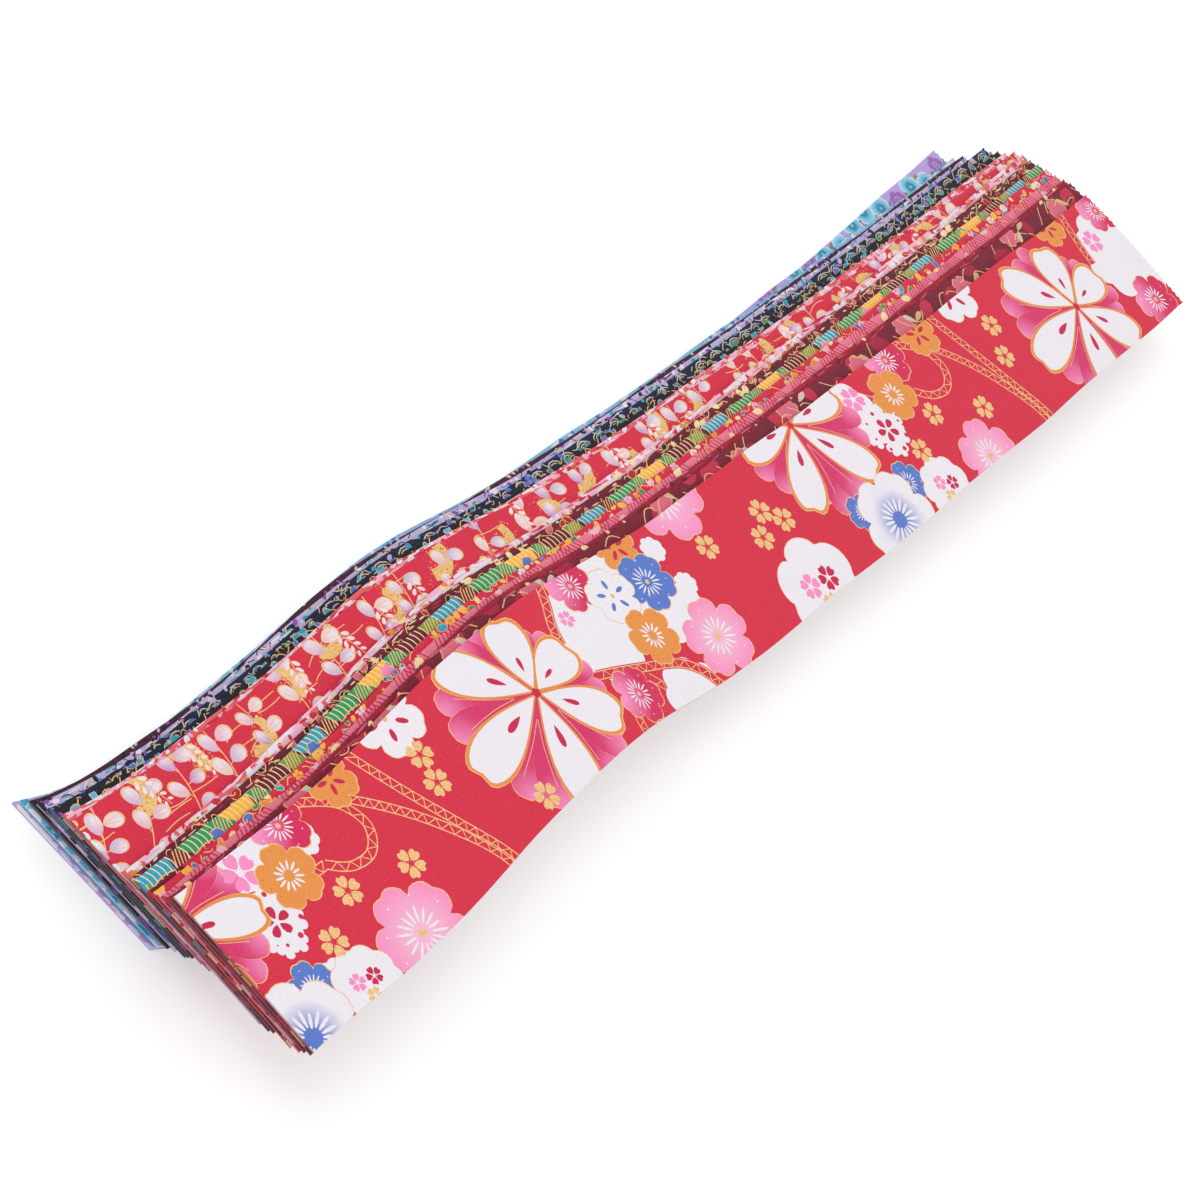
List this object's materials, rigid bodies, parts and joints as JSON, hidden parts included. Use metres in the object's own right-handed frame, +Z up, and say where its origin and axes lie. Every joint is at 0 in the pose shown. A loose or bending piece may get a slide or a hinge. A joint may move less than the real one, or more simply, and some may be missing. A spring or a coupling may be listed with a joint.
{
  "type": "fanned stack of cotton quilting strips",
  "caption": "Flat stack of long narrow printed cotton strips, pushed sideways into a fan, with one soft sideways bend.",
  "frame": {"origin": "middle of the footprint, on the surface that the stack lies on", "axes": "+X along the strips towards the far end, +Y from the front edge of the top strip to the back of the fan, +Z up"},
  "size_m": [0.5068, 0.0995, 0.0266],
  "materials": {
    "strip_01_lavender_blossom": "printed cotton, lavender with purple blossoms and olive leaves",
    "strip_02_sky_blossom": "printed cotton, sky blue with white",
    "strip_03_plum": "printed cotton, dark plum",
    "strip_04_lilac": "printed cotton, pale lilac",
    "strip_05_navy_waves": "printed cotton, navy with beige and teal arcs",
    "strip_06_teal_fans": "printed cotton, teal and navy with gold",
    "strip_07_black_gold": "printed cotton, black with gold",
    "strip_08_coral": "printed cotton, coral, pink and white",
    "strip_09_wisteria": "printed cotton, red with white and lilac buds and gold branches",
    "strip_10_white_pink": "printed cotton, white and pink",
    "strip_11_dark_crimson": "printed cotton, dark crimson with gold",
    "strip_12_banded": "printed cotton, teal, green, yellow and maroon bands with gold ribs",
    "strip_13_red_posy": "printed cotton, red with small coloured figures",
    "strip_14_pink_check": "printed cotton, pink with crimson hatching",
    "strip_15_crimson": "printed cotton, crimson",
    "strip_16_burgundy": "printed cotton, burgundy with gold branches",
    "strip_17_top_blossom": "printed cotton, red with large white, pink, orange and blue blossoms"
  },
  "bodies": {
    "root": {"strip_01_lavender_blossom": "strip_01_lavender_blossom", "strip_02_sky_blossom": "strip_02_sky_blossom", "strip_03_plum": "strip_03_plum", "strip_04_lilac": "strip_04_lilac", "strip_05_navy_waves": "strip_05_navy_waves", "strip_06_teal_fans": "strip_06_teal_fans", "strip_07_black_gold": "strip_07_black_gold", "strip_08_coral": "strip_08_coral", "strip_09_wisteria": "strip_09_wisteria", "strip_10_white_pink": "strip_10_white_pink", "strip_11_dark_crimson": "strip_11_dark_crimson", "strip_12_banded": "strip_12_banded", "strip_13_red_posy": "strip_13_red_posy", "strip_14_pink_check": "strip_14_pink_check", "strip_15_crimson": "strip_15_crimson", "strip_16_burgundy": "strip_16_burgundy", "strip_17_top_blossom": "strip_17_top_blossom"}
  },
  "joints": []
}
